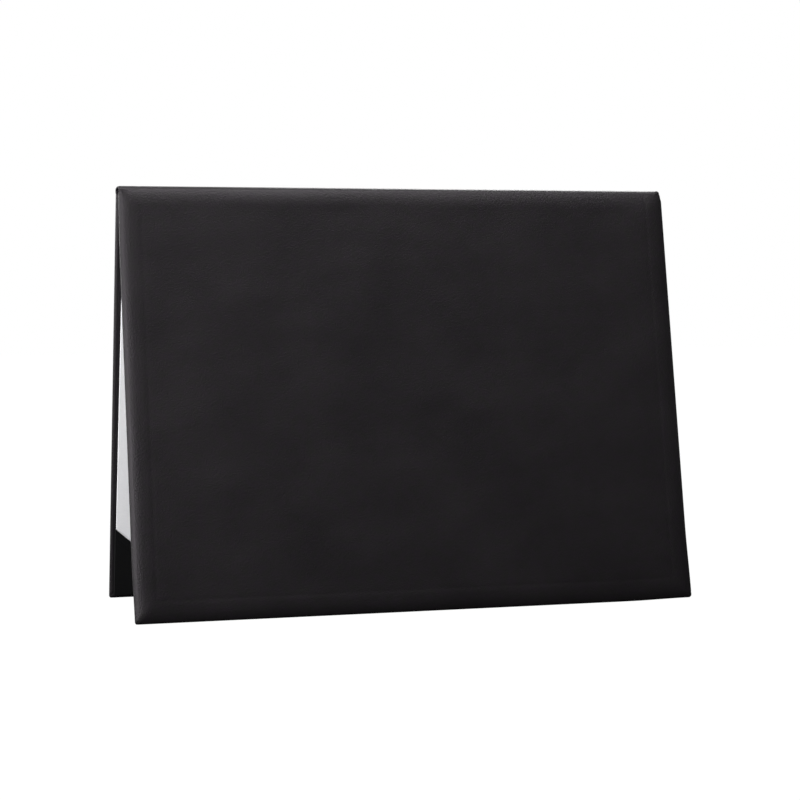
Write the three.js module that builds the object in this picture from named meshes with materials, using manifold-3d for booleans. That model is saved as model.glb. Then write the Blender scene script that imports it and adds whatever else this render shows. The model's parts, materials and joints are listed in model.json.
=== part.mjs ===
// A padded diploma cover, standing as a tent on its two long free edges with the fold on top.
// Millimetres, +Z up. X runs along the fold, the front cover leans towards -Y and the rear one
// towards +Y, and the origin is on the ground under the middle of the cover.
import * as THREE from "three";
import { mergeVertices } from "three/addons/utils/BufferGeometryUtils.js";
import Module from "manifold-3d";

const wasm = await Module();
wasm.setup();

// Each cover
const coverWidth = 298.5; // along the fold
const coverHeight = 222.3; // from the fold line to the free edge
const lean = 11.2; // degrees from upright, as it stands
const cornerRadius = 1.8; // of the cover's four corners, seen from the front

// Layers, from the inside out
const skin = 0.5; // leatherette
const glueGap = 0.2; // between two layers that are glued together
const boardThickness = 2.6;
const foamThickness = 1.6; // in the padded middle
const turnIn = 16; // leatherette folded over onto the inner face
const rimRadius = 1.6; // of the edge on the inner side
const boardToRim = 1; // free room between the board's edge and the leatherette round it
const padInset = 10; // from the cover's edge to where the padding has its full height
const padCornerSpread = 0.4; // how much rounder a corner gets for each millimetre inwards
const shoulderFlat = 0.42; // share of the inset over which the padding stays nearly level
const shoulderDrop = 0.5; // height above the rim at which the padding turns down

// What lies on the inner face
const liningThickness = 1;
const liningMargin = 2.8; // leatherette left showing round the lining
const pocketSheet = 0.4;
const pocketAcross = 41; // covered part of the lining's edge along the fold
const pocketDown = 35; // covered part of the lining's edge away from the fold

// The fold between the covers
const hingeStripThickness = 0.5;
const hingeStripMargin = 2.8; // shorter than the fold by this much at each end
const closingGap = 1; // left between what faces each other when the cover is shut
const foldClearance = 0.3; // between the fold's layers and the edge of a cover
const spineRise = 0.8; // how far the fold arches upwards

// Smoothness of the rounded parts
const cornerSteps = 4;
const shoulderSteps = 7;
const rimSteps = 4;
const archSteps = 8;

// Levels in a cover's own frame: +Z is outwards, 0 is where the leatherette lies flat on the
// board, X runs along the fold and -Y runs down from the fold line.
const edgeThickness = 2 * skin + 2 * glueGap + boardThickness;
const innerFace = -edgeThickness;
const boardBack = innerFace + skin + glueGap;
const boardFront = boardBack + boardThickness;
const foamBack = boardFront + glueGap;
const outerFace = foamBack + foamThickness + glueGap + skin;
const liningBack = innerFace - glueGap;
const liningFront = liningBack - liningThickness;
const pocketBack = liningFront - glueGap;
const pocketFront = pocketBack - pocketSheet;

const rim = Math.min(rimRadius, edgeThickness / 2);
const boardInset = skin + glueGap + boardToRim;
const foldStack = skin + glueGap + hingeStripThickness;
const hingeSetback = foldStack + foldClearance;
const spineWidth = -liningFront - pocketFront + closingGap;

const leatherette = new THREE.MeshStandardMaterial({ color: 0x262427, roughness: 0.5 });
const greyBoard = new THREE.MeshStandardMaterial({ color: 0x8f8a80, roughness: 0.95 });
const foam = new THREE.MeshStandardMaterial({ color: 0xd8d4c4, roughness: 1 });
const whiteCard = new THREE.MeshStandardMaterial({ color: 0xf1f0f2, roughness: 0.7 });
const pocketCloth = new THREE.MeshStandardMaterial({ color: 0x141315, roughness: 0.6 });

function named(name, geometry, material) {
  const mesh = new THREE.Mesh(geometry, material);
  mesh.name = name;
  return mesh;
}

// One turn round the cover at a distance from its edge, as points of a rounded rectangle.
function ring(inset, level, radius) {
  const halfWidth = coverWidth / 2 - inset;
  const top = -hingeSetback - inset;
  const bottom = -coverHeight + inset;
  const corners = [
    [halfWidth - radius, top - radius],
    [radius - halfWidth, top - radius],
    [radius - halfWidth, bottom + radius],
    [halfWidth - radius, bottom + radius],
  ];
  const points = [];
  corners.forEach(([x, y], corner) => {
    for (let step = 0; step <= cornerSteps; step++) {
      const angle = ((corner + step / cornerSteps) * Math.PI) / 2;
      points.push(
        new THREE.Vector3(x + radius * Math.cos(angle), y + radius * Math.sin(angle), level),
      );
    }
  });
  return points;
}

// The corners of the padding are rounder than the rim, and those of the flat layers are sharp.
function cornerAt(inset, level) {
  const padded = level > innerFace / 2;
  return padded ? cornerRadius + padCornerSpread * inset : Math.max(cornerRadius - inset, skin);
}

// A closed solid through a row of rings, from its outermost cap to its last one.
function loft(rings) {
  const count = rings[0].length;
  const positions = rings.flat().flatMap((point) => point.toArray());
  const index = [];
  const cap = (ringNumber, flip) => {
    const outline = rings[ringNumber].map((point) => new THREE.Vector2(point.x, point.y));
    const first = ringNumber * count;
    for (const [a, b, c] of THREE.ShapeUtils.triangulateShape(outline, [])) {
      const face = flip ? [c, b, a] : [a, b, c];
      index.push(...face.map((corner) => first + corner));
    }
  };
  cap(0, false);
  for (let row = 1; row < rings.length; row++) {
    for (let i = 0; i < count; i++) {
      const next = (i + 1) % count;
      const above = (row - 1) * count;
      const below = row * count;
      index.push(below + i, below + next, above + next);
      index.push(below + i, above + next, above + i);
    }
  }
  cap(rings.length - 1, true);
  const geometry = new THREE.BufferGeometry();
  geometry.setAttribute("position", new THREE.Float32BufferAttribute(positions, 3));
  geometry.setIndex(index);
  geometry.computeVertexNormals();
  return geometry;
}

// The leatherette's section as (inset, level) points, from the edge of the flat padded face,
// over the shoulder and round the rim to the free edge of the turn-in.
function leatheretteSection() {
  const shoulder = new THREE.CubicBezierCurve(
    new THREE.Vector2(padInset, outerFace),
    new THREE.Vector2(padInset * shoulderFlat, outerFace),
    new THREE.Vector2(0, shoulderDrop),
    new THREE.Vector2(0, innerFace / 2),
  );
  const heel = new THREE.EllipseCurve(
    rim,
    innerFace + rim,
    rim,
    rim,
    Math.PI,
    1.5 * Math.PI,
    false,
  );
  return [
    ...shoulder.getPoints(shoulderSteps),
    ...heel.getPoints(rimSteps),
    new THREE.Vector2(turnIn, innerFace),
  ];
}

// The same section a little further inside, towards the board.
function offsetSection(section, distance) {
  const normals = section.slice(1).map((point, i) => {
    const along = point.clone().sub(section[i]).normalize();
    return new THREE.Vector2(-along.y, along.x);
  });
  return section.map((point, i) => {
    const before = normals[Math.max(i - 1, 0)];
    const after = normals[Math.min(i, normals.length - 1)];
    const mean = before.clone().add(after).normalize();
    return point.clone().addScaledVector(mean, distance / mean.dot(before));
  });
}

function ringsOf(section) {
  return section.map((point) => ring(point.x, point.y, cornerAt(point.x, point.y)));
}

// One sheet of leatherette over the padding, round the edges and turned in on the inner face.
function wrapGeometry() {
  const outside = leatheretteSection();
  const inside = offsetSection(outside, skin).reverse();
  return loft(ringsOf([...outside, ...inside]));
}

function boardGeometry() {
  return loft([
    ring(boardInset, boardFront, skin),
    ring(boardInset, boardBack, skin),
  ]);
}

// The foam fills the room between the board and the leatherette, thinning out to the edge.
function foamGeometry() {
  const section = offsetSection(leatheretteSection(), skin + glueGap).filter(
    (point) => point.x > boardInset && point.x <= padInset && point.y > foamBack,
  );
  section.push(new THREE.Vector2(section.at(-1).x, foamBack));
  return loft(ringsOf(section));
}

function liningGeometry() {
  return loft([
    ring(liningMargin, liningBack, skin),
    ring(liningMargin, liningFront, skin),
  ]);
}

function solidOf(geometry) {
  const bare = geometry.clone();
  bare.deleteAttribute("normal");
  bare.deleteAttribute("uv");
  const merged = mergeVertices(bare);
  return new wasm.Manifold(
    new wasm.Mesh({
      numProp: 3,
      vertProperties: merged.attributes.position.array,
      triVerts: new Uint32Array(merged.index.array),
    }),
  );
}

function geometryOf(solid) {
  const mesh = solid.getMesh();
  const geometry = new THREE.BufferGeometry();
  geometry.setAttribute("position", new THREE.Float32BufferAttribute(mesh.vertProperties, 3));
  geometry.setIndex([...mesh.triVerts]);
  geometry.computeVertexNormals();
  return geometry;
}

// A triangular pocket folded round one corner of the lining: side is 1 or -1 along X, and end
// is 1 at the fold and -1 at the free edge.
function pocketGeometry(side, end) {
  const liningX = coverWidth / 2 - liningMargin;
  const liningY = end > 0 ? -hingeSetback - liningMargin : liningMargin - coverHeight;
  const wall = glueGap + pocketSheet;
  const cornerX = side * (liningX + wall);
  const cornerY = liningY + end * wall;
  const outline = [
    new THREE.Vector2(cornerX, cornerY),
    new THREE.Vector2(cornerX, cornerY - end * (pocketDown + wall)),
    new THREE.Vector2(cornerX - side * (pocketAcross + wall), cornerY),
  ];
  const sheet = new THREE.ExtrudeGeometry(new THREE.Shape(outline), {
    depth: liningBack - pocketFront,
    bevelEnabled: false,
  });
  sheet.translate(0, 0, pocketFront);
  const roomDepth = 2 * (liningBack - pocketBack);
  const room = new THREE.BoxGeometry(2 * pocketAcross, 2 * pocketDown, roomDepth);
  room.translate(
    side * (liningX + glueGap - pocketAcross),
    liningY + end * (glueGap - pocketDown),
    pocketBack + roomDepth / 2,
  );
  return geometryOf(solidOf(sheet).subtract(solidOf(room)));
}

// A strip along X whose section is a band of an arch that spans the fold, its top this deep
// under the leatherette's outer face.
function archedStrip(depth, thickness, length) {
  const half = spineWidth / 2 - foldClearance;
  const radius = (half ** 2 + spineRise ** 2) / (2 * spineRise);
  const centre = spineRise - radius;
  const open = Math.asin(half / radius);
  const section = new THREE.Shape();
  section.absarc(0, centre, radius - depth, Math.PI / 2 - open, Math.PI / 2 + open, false);
  section.absarc(
    0,
    centre,
    radius - depth - thickness,
    Math.PI / 2 + open,
    Math.PI / 2 - open,
    true,
  );
  const strip = new THREE.ExtrudeGeometry(section, {
    depth: length,
    curveSegments: archSteps,
    bevelEnabled: false,
  });
  strip.translate(0, 0, -length / 2);
  const alongFold = new THREE.Matrix4().makeBasis(
    new THREE.Vector3(0, 1, 0),
    new THREE.Vector3(0, 0, 1),
    new THREE.Vector3(1, 0, 0),
  );
  return strip.applyMatrix4(alongFold);
}

// A cover in its own frame, hung from the fold line at y = 0.
function coverPieces(name) {
  const cover = new THREE.Group();
  cover.add(
    named(name + "_board", boardGeometry(), greyBoard),
    named(name + "_foam_pad", foamGeometry(), foam),
    named(name + "_wrap", wrapGeometry(), leatherette),
    named(name + "_lining", liningGeometry(), whiteCard),
  );
  return cover;
}

// Turned so that it hangs from its fold line and leans outwards, towards -Y.
function hangFromFold(cover) {
  cover.position.y = -spineWidth / 2;
  cover.rotation.x = Math.PI / 2 - THREE.MathUtils.degToRad(lean);
  const side = new THREE.Group();
  side.add(cover);
  return side;
}

const frontCover = hangFromFold(coverPieces("front"));

// The rear cover is turned half round, so its own +X is the left side seen from the front.
const rearPieces = coverPieces("rear");
for (const [side, sideName] of [[1, "left"], [-1, "right"]]) {
  for (const [end, endName] of [[1, "top"], [-1, "bottom"]]) {
    const name = ["pocket", endName, sideName].join("_");
    rearPieces.add(named(name, pocketGeometry(side, end), pocketCloth));
  }
}
const rearCover = hangFromFold(rearPieces);
rearCover.rotation.z = Math.PI;

const fold = new THREE.Group();
fold.add(
  named("spine_strip", archedStrip(0, skin, coverWidth), leatherette),
  named(
    "hinge_strip",
    archedStrip(skin + glueGap, hingeStripThickness, coverWidth - 2 * hingeStripMargin),
    leatherette,
  ),
);

// The fold line is at height 0 here, so the whole tent is lifted onto the ground.
const tent = new THREE.Group();
tent.add(fold, frontCover, rearCover);
tent.position.z = -new THREE.Box3().setFromObject(tent, true).min.z;

const diplomaCover = new THREE.Group();
diplomaCover.add(tent);

export default diplomaCover;
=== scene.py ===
import json
import math

import bmesh
import bpy
from mathutils import Matrix, Vector, noise
from mathutils.geometry import interpolate_bezier


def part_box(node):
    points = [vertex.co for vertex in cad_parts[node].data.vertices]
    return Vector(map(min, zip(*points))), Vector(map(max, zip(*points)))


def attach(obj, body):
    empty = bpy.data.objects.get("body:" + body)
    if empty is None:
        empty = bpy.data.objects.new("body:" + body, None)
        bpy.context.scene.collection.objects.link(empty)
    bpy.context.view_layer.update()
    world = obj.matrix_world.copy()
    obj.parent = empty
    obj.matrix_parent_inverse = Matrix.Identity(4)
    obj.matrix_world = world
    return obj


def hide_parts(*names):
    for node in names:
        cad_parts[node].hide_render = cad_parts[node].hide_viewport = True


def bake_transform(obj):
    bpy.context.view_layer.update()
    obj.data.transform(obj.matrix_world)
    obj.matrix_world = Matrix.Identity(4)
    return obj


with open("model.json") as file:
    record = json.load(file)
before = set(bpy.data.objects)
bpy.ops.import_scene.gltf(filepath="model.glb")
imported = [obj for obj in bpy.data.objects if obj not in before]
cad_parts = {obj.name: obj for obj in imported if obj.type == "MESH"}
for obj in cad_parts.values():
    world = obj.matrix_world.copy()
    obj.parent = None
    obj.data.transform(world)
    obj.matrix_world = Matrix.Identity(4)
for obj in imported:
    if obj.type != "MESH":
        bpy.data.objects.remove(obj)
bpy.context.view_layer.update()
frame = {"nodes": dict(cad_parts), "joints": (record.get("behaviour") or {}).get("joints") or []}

# The standing tent
# Two covers hang from the two fold lines at the top and lean outwards. Each cover has a frame
# of its own: X along the fold, Y up to the fold line at 0, and Z out of its padded face.
joints = {joint["name"]: joint for joint in frame["joints"]}
fold_line = Vector(joints["front_hinge"]["pos_m"])
shut_turn, flat_turn = (math.radians(a) for a in joints["front_hinge"]["range_deg"])
lean = -shut_turn
front_place = Matrix.Translation(fold_line) @ Matrix.Rotation(math.pi / 2 - lean, 4, "X")
TURNS = {"front": Matrix.Identity(4), "rear": Matrix.Rotation(math.pi, 4, "Z")}
PLACES = {side: turn @ front_place for side, turn in TURNS.items()}


def reach(side, node):
    """The lowest and highest corners of a node, measured in its cover's own frame."""
    back = PLACES[side].inverted()
    points = [back @ vertex.co for vertex in frame["nodes"][node].data.vertices]
    return (
        Vector(min(point[axis] for point in points) for axis in range(3)),
        Vector(max(point[axis] for point in points) for axis in range(3)),
    )


cover_low, cover_high = reach("front", "front_wrap")
half_width = cover_high.x
cover_end = cover_low.y  # the free edge
inner_face = cover_low.z
pad_face = cover_high.z
half_spine = -fold_line.y


# Grey boards
# A sheet of dense grey board stiffens each cover. It is cut square and lies sealed between the
# foam and the turned-in leatherette.
class Shade:
    """A socket of a material's nodes: arithmetic on it adds Math nodes, and numbers mix in."""

    def __init__(self, tree, socket=None):
        self.tree = tree
        self.socket = socket

    def node(self, kind, settings=None, inputs=None, output=0):
        """Adds a node: its settings come first, then the values or links of its sockets."""
        made = self.tree.nodes.new(kind)
        for name, value in (settings or {}).items():
            setattr(made, name, value)
        for name, value in (inputs or {}).items():
            if isinstance(value, Shade):
                self.tree.links.new(value.socket, made.inputs[name])
            else:
                made.inputs[name].default_value = value
        return Shade(self.tree, made.outputs[output] if made.outputs else None)

    def math(self, operation, *values):
        return self.node("ShaderNodeMath", {"operation": operation}, dict(enumerate(values)))

    def __add__(self, other):
        return self.math("ADD", self, other)

    def __radd__(self, other):
        return self.math("ADD", other, self)

    def __sub__(self, other):
        return self.math("SUBTRACT", self, other)

    def __rsub__(self, other):
        return self.math("SUBTRACT", other, self)

    def __mul__(self, other):
        return self.math("MULTIPLY", self, other)

    def __rmul__(self, other):
        return self.math("MULTIPLY", other, self)

    def mixed(self, first, second):
        """One colour or the other, by this value from 0 to 1."""
        return self.node(
            "ShaderNodeMix", {"data_type": "RGBA"}, {0: self, 6: first, 7: second}, output=2
        )

    def between(self, low, high):
        """This value spread from 0 at low to 1 at high, and held there."""
        return self.node("ShaderNodeMapRange", {}, {0: self, 1: low, 2: high})


def finish(name, constants, pattern):
    """A material: constants go on the shader's own sockets, and pattern links what varies."""
    made = bpy.data.materials.new(name)
    made.use_nodes = True
    tree = made.node_tree
    shader = tree.nodes["Principled BSDF"]
    for socket, value in constants.items():
        shader.inputs[socket].default_value = value
    for socket, link in pattern(Shade(tree)).items():
        tree.links.new(link.socket, shader.inputs[socket])
    return made


def grain(place, scale, detail):
    """Even noise from about 0 to 1 at a place, this many specks to the metre."""
    return place.node(
        "ShaderNodeTexNoise", {}, {"Vector": place, "Scale": scale, "Detail": detail}
    )


def bumped(height, depth, strength=1.0):
    """The normal of a surface whose height varies from 0 to 1, over this depth in metres."""
    return height.node(
        "ShaderNodeBump", {}, {"Height": height, "Distance": depth, "Strength": strength}
    )


def board_pattern(shade):
    place = shade.node("ShaderNodeTexCoord", output=3)
    fibres = grain(place, scale=900, detail=6)
    clouds = grain(place, scale=60, detail=3)
    mottle = (fibres * 0.7 + clouds * 0.3).between(0.3, 0.7)
    return {
        "Base Color": mottle.mixed((0.22, 0.2, 0.17, 1), (0.34, 0.32, 0.28, 1)),
        "Normal": bumped(fibres, depth=0.00008),
    }


grey_board = finish("grey_board", {"Roughness": 0.95}, board_pattern)
for side in PLACES:
    frame["nodes"][side + "_board"].data.materials.clear()
    frame["nodes"][side + "_board"].data.materials.append(grey_board)


# Foam pads
# A thin sheet of open polyurethane foam on each board gives the covers their soft face. It is
# pressed thin at the edges, where the leatherette is pulled round the board.
def foam_pattern(shade):
    place = shade.node("ShaderNodeTexCoord", output=3)
    cells = shade.node("ShaderNodeTexVoronoi", {}, {"Vector": place, "Scale": 1800})
    open_cells = cells.between(0.1, 0.7)
    return {
        "Base Color": open_cells.mixed((0.5, 0.46, 0.36, 1), (0.78, 0.74, 0.62, 1)),
        "Normal": bumped(cells, depth=0.0002),
    }


foam = finish("foam", {"Roughness": 1.0}, foam_pattern)
for side in PLACES:
    frame["nodes"][side + "_foam_pad"].data.materials.clear()
    frame["nodes"][side + "_foam_pad"].data.materials.append(foam)


# Leatherette
# One black sheet with a fine pebbled grain runs over the front pad, across the fold and over
# the rear pad. It is pulled round three edges of each board and glued down inside, with
# folded corners. Here it is split along the middle of the spine, where it never bends.
SKIN = 0.0005
PAD_INSET = 0.010  # from the edge to the full height of the padding
FOLD_SHOULDER = 2.2  # how fast the padding falls off at the fold
CORNER_RADIUS = 0.0014
CORNER_STEPS = 4

# The section across an edge
SHOULDER_FLAT = 0.0042  # inset over which the padding stays nearly level
SHOULDER_DROP = 0.0005  # height above the rim at which the padding turns down
SHOULDER_POINTS = 13
HEEL_RADIUS = 0.0016  # of the edge on the inner side
HEEL_STEPS = 5
TURN_IN_INSETS = (0.0035, 0.007, 0.016)  # rings on the inner face; the last is the sheet's edge

# The fold
FOLD_RADIUS = 0.0016
FOLD_ZONE = 0.012  # from the fold line down to where the rows become coarse
SPINE_STACK = 0.0012  # thickness of the layers at the spine's ends
ARCH_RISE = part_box("spine_strip")[1].z - fold_line.z

# Rows and cuts, which let the sheet bend smoothly
GRID_STEP = 0.004
EASY_ROWS = 8  # down on the padding, at the start of the fold zone
EASY_STEP = 0.001
BEND_ROWS = 26  # over the bend
BEND_END = 0.003  # past the fold line, on the spine
SPINE_ROWS = (0.004, 0.005)
CORNER_CUTS = (0.00061, 0.00133, 0.00207, 0.00281, 0.00377, 0.00493, 0.00637, 0.00811)
GROOVE_CUTS = (0.0094, 0.0102, 0.0108, 0.0111, 0.0114, 0.012, 0.0128)
NEAREST = 0.00004  # cuts closer than this are merged
SAME_PLACE = 1e-6  # rounding of a place, in metres

# The unevenness of a sheet that was pulled over foam by hand. A pair gives the distances
# between which something fades.
WAVES = 0.00042  # height of the soft waves on the padding
WAVES_PER_METRE = 21
RIPPLES_PER_METRE = 60
WAVE_STRETCH = 1.9  # how much closer the waves are down the cover than along the fold
WAVE_FADE = (0.001, 0.014)  # from an edge
GROOVE_INSET = 0.0111  # where the foam ends under the sheet
GROOVE = 0.00007
GROOVE_WIDTH = 0.001
TUCK = 0.00024  # height of the folds where the sheet is tucked in at a corner
TUCK_PITCH = 0.0026
TUCK_FADE = (0.002, 0.0075)  # from a corner
THIN_FADE = (-0.0032, -0.0014)  # where the layers thin out just below the fold line
DENT = 0.0012  # depth of the knock at the front's right corner, by the fold
DENT_FADE = (0.0005, 0.005)  # from that corner
DENT_SINK = 0.3  # share of the knock by which the sheet sinks there
CRUMPLES_PER_METRE = 380
FLARE = 0.0007  # how far the front's lower right corner opens outwards
FLARE_FADE = (0, 0.04)  # from that corner
BULGE = 0.00045  # of the front's left edge between its corners
BULGE_ENDS = (0, 0.03)  # from the ends of that edge
BULGE_DEPTH = (0, 0.04)  # from that edge inwards

fold_turn = flat_turn  # from the cover's plane to the spine's, as it stands
bend_half = FOLD_RADIUS * fold_turn / 2
tangent = FOLD_RADIUS * math.tan(fold_turn / 2)
spine_reach = half_spine - (tangent - bend_half)  # of the sheet, from the fold's middle


def smooth(value, low, high):
    """0 up to low, 1 from high on, and a smooth rise between them."""
    t = min(max((value - low) / (high - low), 0), 1)
    return t * t * (3 - 2 * t)


def edge_section():
    """(inset, level) down the shoulder, round the edge and in to the end of the turn-in."""
    shoulder = interpolate_bezier(
        Vector((PAD_INSET, pad_face)),
        Vector((SHOULDER_FLAT, pad_face)),
        Vector((0, SHOULDER_DROP)),
        Vector((0, inner_face / 2)),
        SHOULDER_POINTS,
    )
    heel = [
        Vector(
            (
                HEEL_RADIUS * (1 - math.sin(angle)),
                inner_face + HEEL_RADIUS * (1 - math.cos(angle)),
            )
        )
        for angle in (
            math.pi / 2 * (1 - step / HEEL_STEPS) for step in range(HEEL_STEPS + 1)
        )
    ]
    flat = [Vector((inset, inner_face)) for inset in TURN_IN_INSETS]
    return [Vector(point) for point in shoulder[1:]] + heel + flat


def grown(bm, edges):
    """Extrudes a chain of edges and gives the new vertices and the new chain."""
    geometry = bmesh.ops.extrude_edge_only(bm, edges=edges)["geom"]
    vertices = [g for g in geometry if isinstance(g, bmesh.types.BMVert)]
    fresh = set(vertices)
    chain = [
        g
        for g in geometry
        if isinstance(g, bmesh.types.BMEdge) and all(v in fresh for v in g.verts)
    ]
    return vertices, chain


def cut_across(bm, place, way):
    """Cuts every face that the plane through a place, square to a way, meets."""
    everything = [*bm.verts, *bm.edges, *bm.faces]
    bmesh.ops.bisect_plane(bm, geom=everything, plane_co=place, plane_no=way)


def fold_rows():
    """Places along the sheet for the rows from the coarse grid over the fold to the spine."""
    rows = [-FOLD_ZONE + EASY_STEP * step for step in range(1, EASY_ROWS + 1)]
    start = rows[-1]
    rows += [start + (BEND_END - start) * step / BEND_ROWS for step in range(1, BEND_ROWS + 1)]
    return [*rows, *SPINE_ROWS, spine_reach]


def folded(place, level):
    """A point of the flat sheet, this far up from the fold's middle, in the cover's frame."""
    if place <= -bend_half:
        return place - (tangent - bend_half), level
    turned = min(place + bend_half, 2 * bend_half) / FOLD_RADIUS
    beyond = max(place - bend_half, 0)
    y = -tangent + (FOLD_RADIUS + level) * math.sin(turned) + beyond * math.cos(turned)
    z = -FOLD_RADIUS + (FOLD_RADIUS + level) * math.cos(turned) - beyond * math.sin(turned)
    return y, z


def leatherette_half(side):
    """The outer face of one cover's sheet, up to the spine's middle, in the cover's frame."""
    bm = bmesh.new()
    sheet = bm.verts.layers.float_vector.new("sheet")
    outward = bm.verts.layers.float_vector.new("outward")
    # the flat middle of the padded face
    width = 2 * (half_width - PAD_INSET)
    length = -cover_end - PAD_INSET - FOLD_ZONE
    columns = round(width / GRID_STEP)
    rows = round(length / GRID_STEP)
    bmesh.ops.create_grid(bm, x_segments=columns, y_segments=rows, size=0.5)
    bmesh.ops.scale(bm, verts=bm.verts, vec=(width, length, 1))
    bmesh.ops.translate(bm, verts=bm.verts, vec=(0, -FOLD_ZONE - length / 2, pad_face))
    # rows over the fold, up to the middle of the spine
    top = [e for e in bm.edges if all(abs(v.co.y + FOLD_ZONE) < SAME_PLACE for v in e.verts)]
    for place in fold_rows():
        vertices, top = grown(bm, top)
        for vertex in vertices:
            vertex.co.y = place
    for vertex in bm.verts:
        vertex[sheet] = vertex.co
    # rings down the shoulders, round the edges and in under the board
    chain = [e for e in bm.edges if e.is_boundary and e not in set(top)]
    for vertex in {v for e in chain for v in e.verts}:
        at_side = abs(abs(vertex.co.x) - (half_width - PAD_INSET)) < SAME_PLACE
        at_end = abs(vertex.co.y - cover_end - PAD_INSET) < SAME_PLACE
        vertex[outward] = (math.copysign(at_side, vertex.co.x), -float(at_end), 0)
    before = Vector((PAD_INSET, pad_face))
    for point in edge_section():
        vertices, chain = grown(bm, chain)
        step = (point - before).length
        for vertex in vertices:
            vertex.co += vertex[outward] * (before.x - point.x)
            vertex.co.z = point.y
            vertex[sheet] += vertex[outward] * step
        before = point
    corners = [e for e in bm.edges if all(v[outward].x and v[outward].y for v in e.verts)]
    bmesh.ops.bevel(
        bm,
        geom=corners,
        offset=CORNER_RADIUS,
        segments=CORNER_STEPS,
        profile=0.5,
        affect="EDGES",
        material=-1,
    )
    for cut in CORNER_CUTS + GROOVE_CUTS:
        cut_across(bm, (half_width - cut, 0, 0), (1, 0, 0))
        cut_across(bm, (cut - half_width, 0, 0), (1, 0, 0))
        cut_across(bm, (0, cover_end + cut, 0), (0, 1, 0))
    bmesh.ops.remove_doubles(bm, verts=bm.verts, dist=NEAREST)
    shape_sheet(bm, side)
    # the grain follows the flat sheet, from one cover over the spine to the other
    way = 1 if side == "front" else -1
    pattern = bm.loops.layers.uv.new("sheet")
    for face in bm.faces:
        face.smooth = True
        for loop in face.loops:
            flat = loop.vert[sheet]
            loop[pattern].uv = (way * flat.x, way * (flat.y - spine_reach))
    for spent in ("sheet", "outward"):
        layers = bm.verts.layers.float_vector
        layers.remove(layers[spent])
    bmesh.ops.recalc_face_normals(bm, faces=bm.faces)
    return bm


def shape_sheet(bm, side):
    """Gives the flat tray its soft unevenness, thins it at the fold and bends it there."""
    for vertex in bm.verts:
        x, place, level = vertex.co
        near_side = half_width - abs(x)
        near_end = place - cover_end
        to_corner = math.hypot(near_side, near_end)
        if level > 0:
            level *= 1 - (1 - min(max(-place / PAD_INSET, 0), 1)) ** FOLD_SHOULDER
            seed = Vector((x, place * WAVE_STRETCH, side == "rear"))
            soft = smooth(min(near_side, near_end, -place), *WAVE_FADE)
            level += soft * WAVES * noise.noise(seed * WAVES_PER_METRE)
            level += soft * WAVES / 3 * noise.noise(seed * RIPPLES_PER_METRE)
            inset = min(near_side, near_end)
            level -= GROOVE * math.exp(-(((inset - GROOVE_INSET) / GROOVE_WIDTH) ** 2))
        else:
            tucks = math.cos(2 * math.pi * (near_side - near_end) / TUCK_PITCH)
            level -= TUCK * max(tucks, 0) * (1 - smooth(to_corner, *TUCK_FADE))
            thin = smooth(place, *THIN_FADE)
            level *= 1 + thin * (SPINE_STACK / -inner_face - 1)
        if side == "front" and x > 0:
            flare = FLARE * (1 - smooth(to_corner, *FLARE_FADE))
            x += flare
            place += flare
            knocked = 1 - smooth(math.hypot(near_side, place), *DENT_FADE)
            x -= DENT * knocked
            crumple = noise.noise(Vector((x, place, level)) * CRUMPLES_PER_METRE)
            level -= DENT * knocked * (DENT_SINK - crumple)
        if side == "front" and x < 0:
            along = smooth(min(-place, near_end), *BULGE_ENDS)
            x -= BULGE * along * (1 - smooth(near_side, *BULGE_DEPTH))
        if place > 0:
            level += ARCH_RISE * (1 - ((spine_reach - place) / spine_reach) ** 2)
        y, z = folded(place, level)
        vertex.co = (x, y, z)


def leatherette_pattern(shade):
    place = shade.node("ShaderNodeUVMap", {"uv_map": "sheet"})
    pebbles = shade.node(
        "ShaderNodeTexVoronoi",
        {"feature": "SMOOTH_F1"},
        {"Vector": place, "Scale": 1500, "Randomness": 1.0},
    )
    fine = grain(place, scale=5200, detail=3)
    clouds = grain(place, scale=22, detail=3)
    height = (1 - pebbles) * 0.75 + fine * 0.25
    tint = grain(place, scale=240, detail=2).between(0.35, 0.65)
    tone = (clouds * 0.6 + fine * 0.4).between(0.35, 0.65)
    dark = tint.mixed((0.0043, 0.0033, 0.0047, 1), (0.0034, 0.0034, 0.0033, 1))
    light = tint.mixed((0.0071, 0.0055, 0.0075, 1), (0.006, 0.0059, 0.0055, 1))
    return {
        "Base Color": tone.mixed(dark, light),
        "Roughness": 0.42 + clouds * 0.14,
        "Normal": bumped(height, depth=0.00016, strength=0.9),
    }


leatherette = finish(
    "black_leatherette",
    {"Specular IOR Level": 0.25, "Specular Tint": (1.0, 0.93, 1.0, 1)},
    leatherette_pattern,
)


def shown(name, bm, material):
    """Puts a finished bmesh in the scene, as a piece in the row's frame."""
    data = bpy.data.meshes.new(name)
    bm.to_mesh(data)
    bm.free()
    data.materials.append(material)
    piece = bpy.data.objects.new(name, data)
    bpy.context.scene.collection.objects.link(piece)
    return piece


def sharpen(bm, angle):
    """Shades every edge sharp that turns by this angle or more."""
    for edge in bm.edges:
        edge.smooth = edge.calc_face_angle(0) < angle


for side, place in PLACES.items():
    bm = leatherette_half(side)
    bm.transform(place)
    piece = shown(side + "_leatherette", bm, leatherette)
    thicken = piece.modifiers.new("thickness", "SOLIDIFY")
    thicken.thickness = SKIN
    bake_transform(piece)
    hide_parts(side + "_wrap", "spine_strip")


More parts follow.
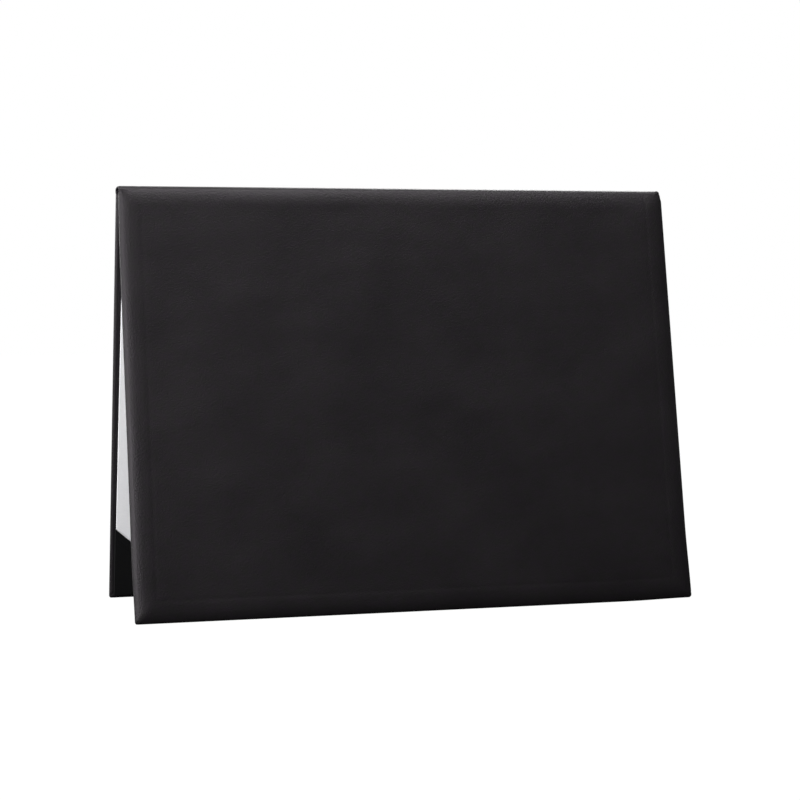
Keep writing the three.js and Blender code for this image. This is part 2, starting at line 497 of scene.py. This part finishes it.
# Hinge strip
# A strip of the same leatherette closes the fold on the inside. It is glued to the inner face
# at the top of each board, goes up over the board's edge and lies under the spine.
STRIP = 0.00035  # from the surface under it to the strip's bare side
STRIP_THICKNESS = 0.00028
STRIP_COLUMNS = 60
STRIP_SHARP = math.radians(60)
STRIP_GAP = 0.0001  # between the lining and the strip
STRIP_ROUNDING = 0.0009  # where the strip goes up over the board's edge
STRIP_ROUND_STEPS = 6
STRIP_LEAVES = -0.0014  # level at which it leaves the board's edge
STRIP_MEETS = 0.001  # from the fold line to where it meets the spine
STRIP_UNDER = 0.00002  # air under the spine's layers where it meets them
STRIP_RUNS = (0.0016, 0.0025, 0.0035, 0.0045, 0.0055, half_spine)  # rows under the spine


def strip_path():
    """(y, z) of the strip's bare side in the cover's frame, from the board to the spine."""
    along_spine = Vector((math.cos(fold_turn), -math.sin(fold_turn)))
    inward = Vector((-math.sin(fold_turn), -math.cos(fold_turn)))
    face = inner_face - STRIP
    end = cover_high.y + STRIP
    centre = Vector((end - STRIP_ROUNDING, face + STRIP_ROUNDING))
    path = [Vector((lining_high.y + STRIP_GAP, face)), Vector((centre.x, face))]
    for step in range(1, STRIP_ROUND_STEPS + 1):
        angle = math.pi / 2 * step / STRIP_ROUND_STEPS
        path.append(centre + STRIP_ROUNDING * Vector((math.sin(angle), -math.cos(angle))))
    path.append(Vector((end, STRIP_LEAVES)))
    path.append(along_spine * STRIP_MEETS + inward * (SPINE_STACK + STRIP_UNDER))
    for run in STRIP_RUNS:
        lift = ARCH_RISE * (1 - ((half_spine - run) / half_spine) ** 2)
        path.append(along_spine * run + inward * (SPINE_STACK - lift))
    return path


lining_high = reach("front", "front_lining")[1]
strip_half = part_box("hinge_strip")[1].x
path = strip_path()
for side, place in PLACES.items():
    # one row of a grid, drawn out along the path
    bm = bmesh.new()
    bmesh.ops.create_grid(bm, x_segments=STRIP_COLUMNS, y_segments=1, size=0.5)
    spare = [v for v in bm.verts if v.co.y > 0]
    bmesh.ops.delete(bm, geom=spare, context="VERTS")
    chain = list(bm.edges)
    for vertex in bm.verts:
        vertex.co = (vertex.co.x * 2 * strip_half, path[0].x, path[0].y)
    travelled = bm.verts.layers.float.new("travelled")
    length = 0
    for before, point in zip(path, path[1:]):
        length += (point - before).length
        vertices, chain = grown(bm, chain)
        for vertex in vertices:
            vertex.co.y, vertex.co.z = point
            vertex[travelled] = length
    pattern = bm.loops.layers.uv.new("sheet")
    for face in bm.faces:
        face.smooth = True
        for loop in face.loops:
            loop[pattern].uv = (loop.vert.co.x, loop.vert[travelled])
    bmesh.ops.recalc_face_normals(bm, faces=bm.faces)
    bmesh.ops.solidify(bm, geom=bm.faces, thickness=STRIP_THICKNESS)
    sharpen(bm, STRIP_SHARP)
    bm.transform(place)
    piece = shown(side + "_hinge_strip", bm, leatherette)
    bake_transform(piece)
    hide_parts("hinge_strip")


# Linings
# A sheet of white card with a faint laid texture is glued over the turn-ins of each cover and
# leaves a narrow black margin all round.
def lining_pattern(shade):
    place = shade.node("ShaderNodeTexCoord", output=3)
    long_fibres = shade.node(
        "ShaderNodeMapping", {"vector_type": "TEXTURE"}, {"Vector": place, "Scale": (4, 1, 1)}
    )
    fibres = grain(long_fibres, scale=1400, detail=5)
    clouds = grain(place, scale=35, detail=2)
    tone = (fibres * 0.5 + clouds * 0.5).between(0.3, 0.7)
    return {
        "Base Color": tone.mixed((0.79, 0.79, 0.81, 1), (0.84, 0.84, 0.85, 1)),
        "Roughness": 0.55 + fibres * 0.15,
        "Normal": bumped(fibres, depth=0.00004, strength=0.6),
    }


CUT_SHORT = 0.0004  # off each side of the card in CAD, to fit the photo
SLANT = 0.0045  # how far out of square the card is cut, per metre of its height
BROKEN_EDGE = 0.0002
SMALL_FACE = 0.0001  # square metres; the faces of the broken edges are smaller
white_card = finish("white_lining", {"Specular IOR Level": 0.4}, lining_pattern)
for side, place in PLACES.items():
    low, high = reach(side, side + "_lining")
    high.x -= CUT_SHORT
    low.x += CUT_SHORT
    bm = bmesh.new()
    bmesh.ops.create_cube(bm, size=1)
    bmesh.ops.scale(bm, verts=bm.verts, vec=high - low)
    bmesh.ops.translate(bm, verts=bm.verts, vec=(low + high) / 2)
    bmesh.ops.bevel(
        bm,
        geom=list(bm.edges),
        offset=BROKEN_EDGE,
        segments=2,
        profile=0.5,
        affect="EDGES",
        material=-1,
    )
    for face in bm.faces:
        face.smooth = face.calc_area() < SMALL_FACE
    for vertex in bm.verts:
        vertex.co.x -= SLANT * (vertex.co.y - (low.y + high.y) / 2)
    bm.transform(place)
    piece = shown(side + "_white_lining", bm, white_card)
    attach(piece, side + "_cover")
    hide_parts(side + "_lining")


# Corner pockets
# A triangle of black cloth is folded round each corner of the rear lining, with a doubled hem
# along its open edge. The certificate's corners slip in behind the hems.
def pocket_pattern(shade):
    place = shade.node("ShaderNodeTexCoord", output=3)
    weave = shade.node(
        "ShaderNodeTexWave",
        {"bands_direction": "X"},
        {"Vector": place, "Scale": 900, "Distortion": 1.5},
    )
    fine = grain(place, scale=4000, detail=2)
    tone = fine.between(0.3, 0.7)
    return {
        "Base Color": tone.mixed((0.002, 0.002, 0.0022, 1), (0.004, 0.004, 0.0044, 1)),
        "Normal": bumped(weave * 0.5 + fine * 0.5, depth=0.00005, strength=0.6),
    }


pocket_cloth = finish(
    "black_pocket_cloth", {"Roughness": 0.55, "Specular IOR Level": 0.15}, pocket_pattern
)
POCKET_CLOTH = 0.00035
POCKET_ROUNDING = 0.0003
POCKET_SHARP = math.radians(50)
HEM = 0.004
HEM_RISE = 0.0002
HEM_RAMP = 0.0003  # from the hem's height down to the single cloth
POCKET_REACH = 1.05  # of the pocket's legs in CAD, to fit the hem in the photo
for across in ("left", "right"):
    for up in ("top", "bottom"):
        node = "pocket_" + up + "_" + across
        low, high = reach("rear", node)
        # the sheet's corner, and the two ends of its open edge
        corner_x, far_x = (high.x, low.x) if across == "left" else (low.x, high.x)
        corner_y, far_y = (high.y, low.y) if up == "top" else (low.y, high.y)
        corner = Vector((corner_x, corner_y, low.z))
        ends = [Vector((far_x, corner_y, low.z)), Vector((corner_x, far_y, low.z))]
        ends = [corner.lerp(end, POCKET_REACH) for end in ends]
        slope = (ends[1] - ends[0]).normalized()
        inwards = Vector((slope.y, -slope.x, 0))
        if inwards.dot(corner - ends[0]) < 0:
            inwards.negate()

        bm = bmesh.new()
        face = bm.faces.new([bm.verts.new(point) for point in (corner, *ends)])
        legs = [e for e in face.edges if any(v.co == corner for v in e.verts)]
        for vertex in grown(bm, legs)[0]:
            vertex.co.z = high.z
        bmesh.ops.bevel(
            bm,
            geom=legs,
            offset=POCKET_ROUNDING,
            segments=3,
            profile=0.5,
            affect="EDGES",
            material=-1,
        )
        for depth in (HEM, HEM + HEM_RAMP):
            cut_across(bm, ends[0] + inwards * depth, inwards)
        for vertex in bm.verts:
            depth = (vertex.co - ends[0]).dot(inwards)
            if depth < HEM + HEM_RAMP / 2 and vertex.co.z < low.z + POCKET_ROUNDING:
                vertex.co.z -= HEM_RISE
        bmesh.ops.recalc_face_normals(bm, faces=bm.faces)
        if sum(face.normal.z * face.calc_area() for face in bm.faces) > 0:
            bmesh.ops.reverse_faces(bm, faces=bm.faces)
        bmesh.ops.solidify(bm, geom=bm.faces, thickness=POCKET_CLOTH)
        sharpen(bm, POCKET_SHARP)
        bm.transform(PLACES["rear"])
        piece = shown(node + "_cloth", bm, pocket_cloth)
        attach(piece, "rear_cover")
        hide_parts(node)


# Studio
# A white floor and a white surround, with soft lights in front on the left, at the left end,
# over the top and behind, and a camera at the height of a table.
CAMERA_PLACE = (-0.3000, -1.0656, 0.1680)
CAMERA_YAW = math.radians(15.787)
CAMERA_PITCH = math.radians(-3.172)
CAMERA_ROLL = math.radians(-0.185)
FOCAL_PIXELS = 2070.5
PHOTO_PIXELS = 800
SENSOR = 36
FLOOR_HALF = 4
FLOOR_GLOW = 1.12  # with its share, just past white
FLOOR_SHARE = 0.9  # of the glow; the dark paint under it is too faint to show a shadow
FAR_FADE = (0.4, 1.2)  # metres from the cover over which shiny surfaces begin to see the floor
GLOW_ABOVE = 0.6
ABOVE_FADE = (0.3, 1.0)  # how steeply a direction points up
GLOW_LEFT = 0.56
LEFT_FADE = (-0.25, 0.5)  # how far a direction points left
GLOW_ALL_ROUND = 0.05
MIRROR_FADE = (0.85, 1.0)  # directions to the left that shiny surfaces see as white


def rays(shade):
    """1 where a ray comes from the camera, from a shiny surface, or through glass."""
    return [
        shade.node("ShaderNodeLightPath", output="Is " + kind + " Ray")
        for kind in ("Camera", "Glossy", "Transmission")
    ]


world = bpy.data.worlds.new("studio")
bpy.context.scene.world = world
world.use_nodes = True
around = Shade(world.node_tree)
seen, mirrored, through = rays(around)
direction = around.node("ShaderNodeTexCoord", output=0)
leftward = -1 * around.node("ShaderNodeSeparateXYZ", {}, {0: direction}, output=0)
upward = around.node("ShaderNodeSeparateXYZ", {}, {0: direction}, output=2)
above = upward.between(*ABOVE_FADE) * GLOW_ABOVE
dim = above + leftward.between(*LEFT_FADE) * GLOW_LEFT + GLOW_ALL_ROUND
mirror = mirrored * leftward.between(*MIRROR_FADE)
white = seen.math("MINIMUM", seen + through + mirror, 1.0)
strength = white + (1 - white) * dim
background = world.node_tree.nodes["Background"]
background.inputs["Color"].default_value = (1, 1, 1, 1)
world.node_tree.links.new(strength.socket, background.inputs["Strength"])

bm = bmesh.new()
bmesh.ops.create_grid(bm, x_segments=1, y_segments=1, size=FLOOR_HALF)
floor_material = bpy.data.materials.new("white_floor")
floor_material.use_nodes = True
tree = floor_material.node_tree
tree.nodes.clear()
ground = Shade(tree)
seen, mirrored, through = rays(ground)
place = ground.node("ShaderNodeTexCoord", output=3)
far_away = ground.node("ShaderNodeVectorMath", {"operation": "LENGTH"}, {0: place}, output=1)
far_away = far_away.between(*FAR_FADE)
paint = ground.node("ShaderNodeBsdfDiffuse", {}, {"Color": (0.1, 0.1, 0.1, 1)})
glow = ground.node("ShaderNodeEmission", {}, {"Color": (1, 1, 1, 1), "Strength": FLOOR_GLOW})
share = seen.math("MINIMUM", seen + mirrored * far_away + through, 1.0) * FLOOR_SHARE
mixed = ground.node("ShaderNodeMixShader", {}, {0: share, 1: paint, 2: glow})
ground.node("ShaderNodeOutputMaterial", {}, {"Surface": mixed})
floor = shown("floor", bm, floor_material)


def soft_light(name, place, target, size, power):
    """A rectangular lamp at a place, turned to a target, with its size in metres and watts."""
    data = bpy.data.lights.new(name, "AREA")
    data.shape = "RECTANGLE"
    data.size, data.size_y = size
    data.energy = power
    light = bpy.data.objects.new(name, data)
    light.location = place
    light.rotation_euler = (Vector(target) - Vector(place)).to_track_quat("-Z", "Y").to_euler()
    bpy.context.scene.collection.objects.link(light)


MIDDLE = (0, 0, 0.12)  # of the cover
soft_light(
    "front_light", place=(-0.72, -0.42, 0.28), target=MIDDLE, size=(0.35, 0.35), power=5.0
)
soft_light(
    "side_light", place=(-0.9, 0.02, 0.22), target=(-0.1, 0, 0.12), size=(0.3, 0.4), power=2.5
)
soft_light("back_light", place=(0.75, 1.15, 0.95), target=MIDDLE, size=(1.0, 0.8), power=15)
soft_light("back_side_light", place=(-0.9, 1.0, 0.5), target=MIDDLE, size=(0.5, 0.5), power=5)
soft_light(
    "top_light",
    place=(-0.12, -0.21, 0.86),
    target=(-0.1, -0.02, 0.2),
    size=(0.9, 0.3),
    power=8.0,
)

camera_data = bpy.data.cameras.new("camera")
camera_data.sensor_width = SENSOR
camera_data.lens = FOCAL_PIXELS * SENSOR / PHOTO_PIXELS
camera = bpy.data.objects.new("camera", camera_data)
camera.matrix_world = (
    Matrix.Translation(CAMERA_PLACE)
    @ Matrix.Rotation(-CAMERA_YAW, 4, "Z")
    @ Matrix.Rotation(math.pi / 2 + CAMERA_PITCH, 4, "X")
    @ Matrix.Rotation(CAMERA_ROLL, 4, "Z")
)
bpy.context.scene.collection.objects.link(camera)
bpy.context.scene.camera = camera
bpy.context.scene.view_settings.view_transform = "Standard"
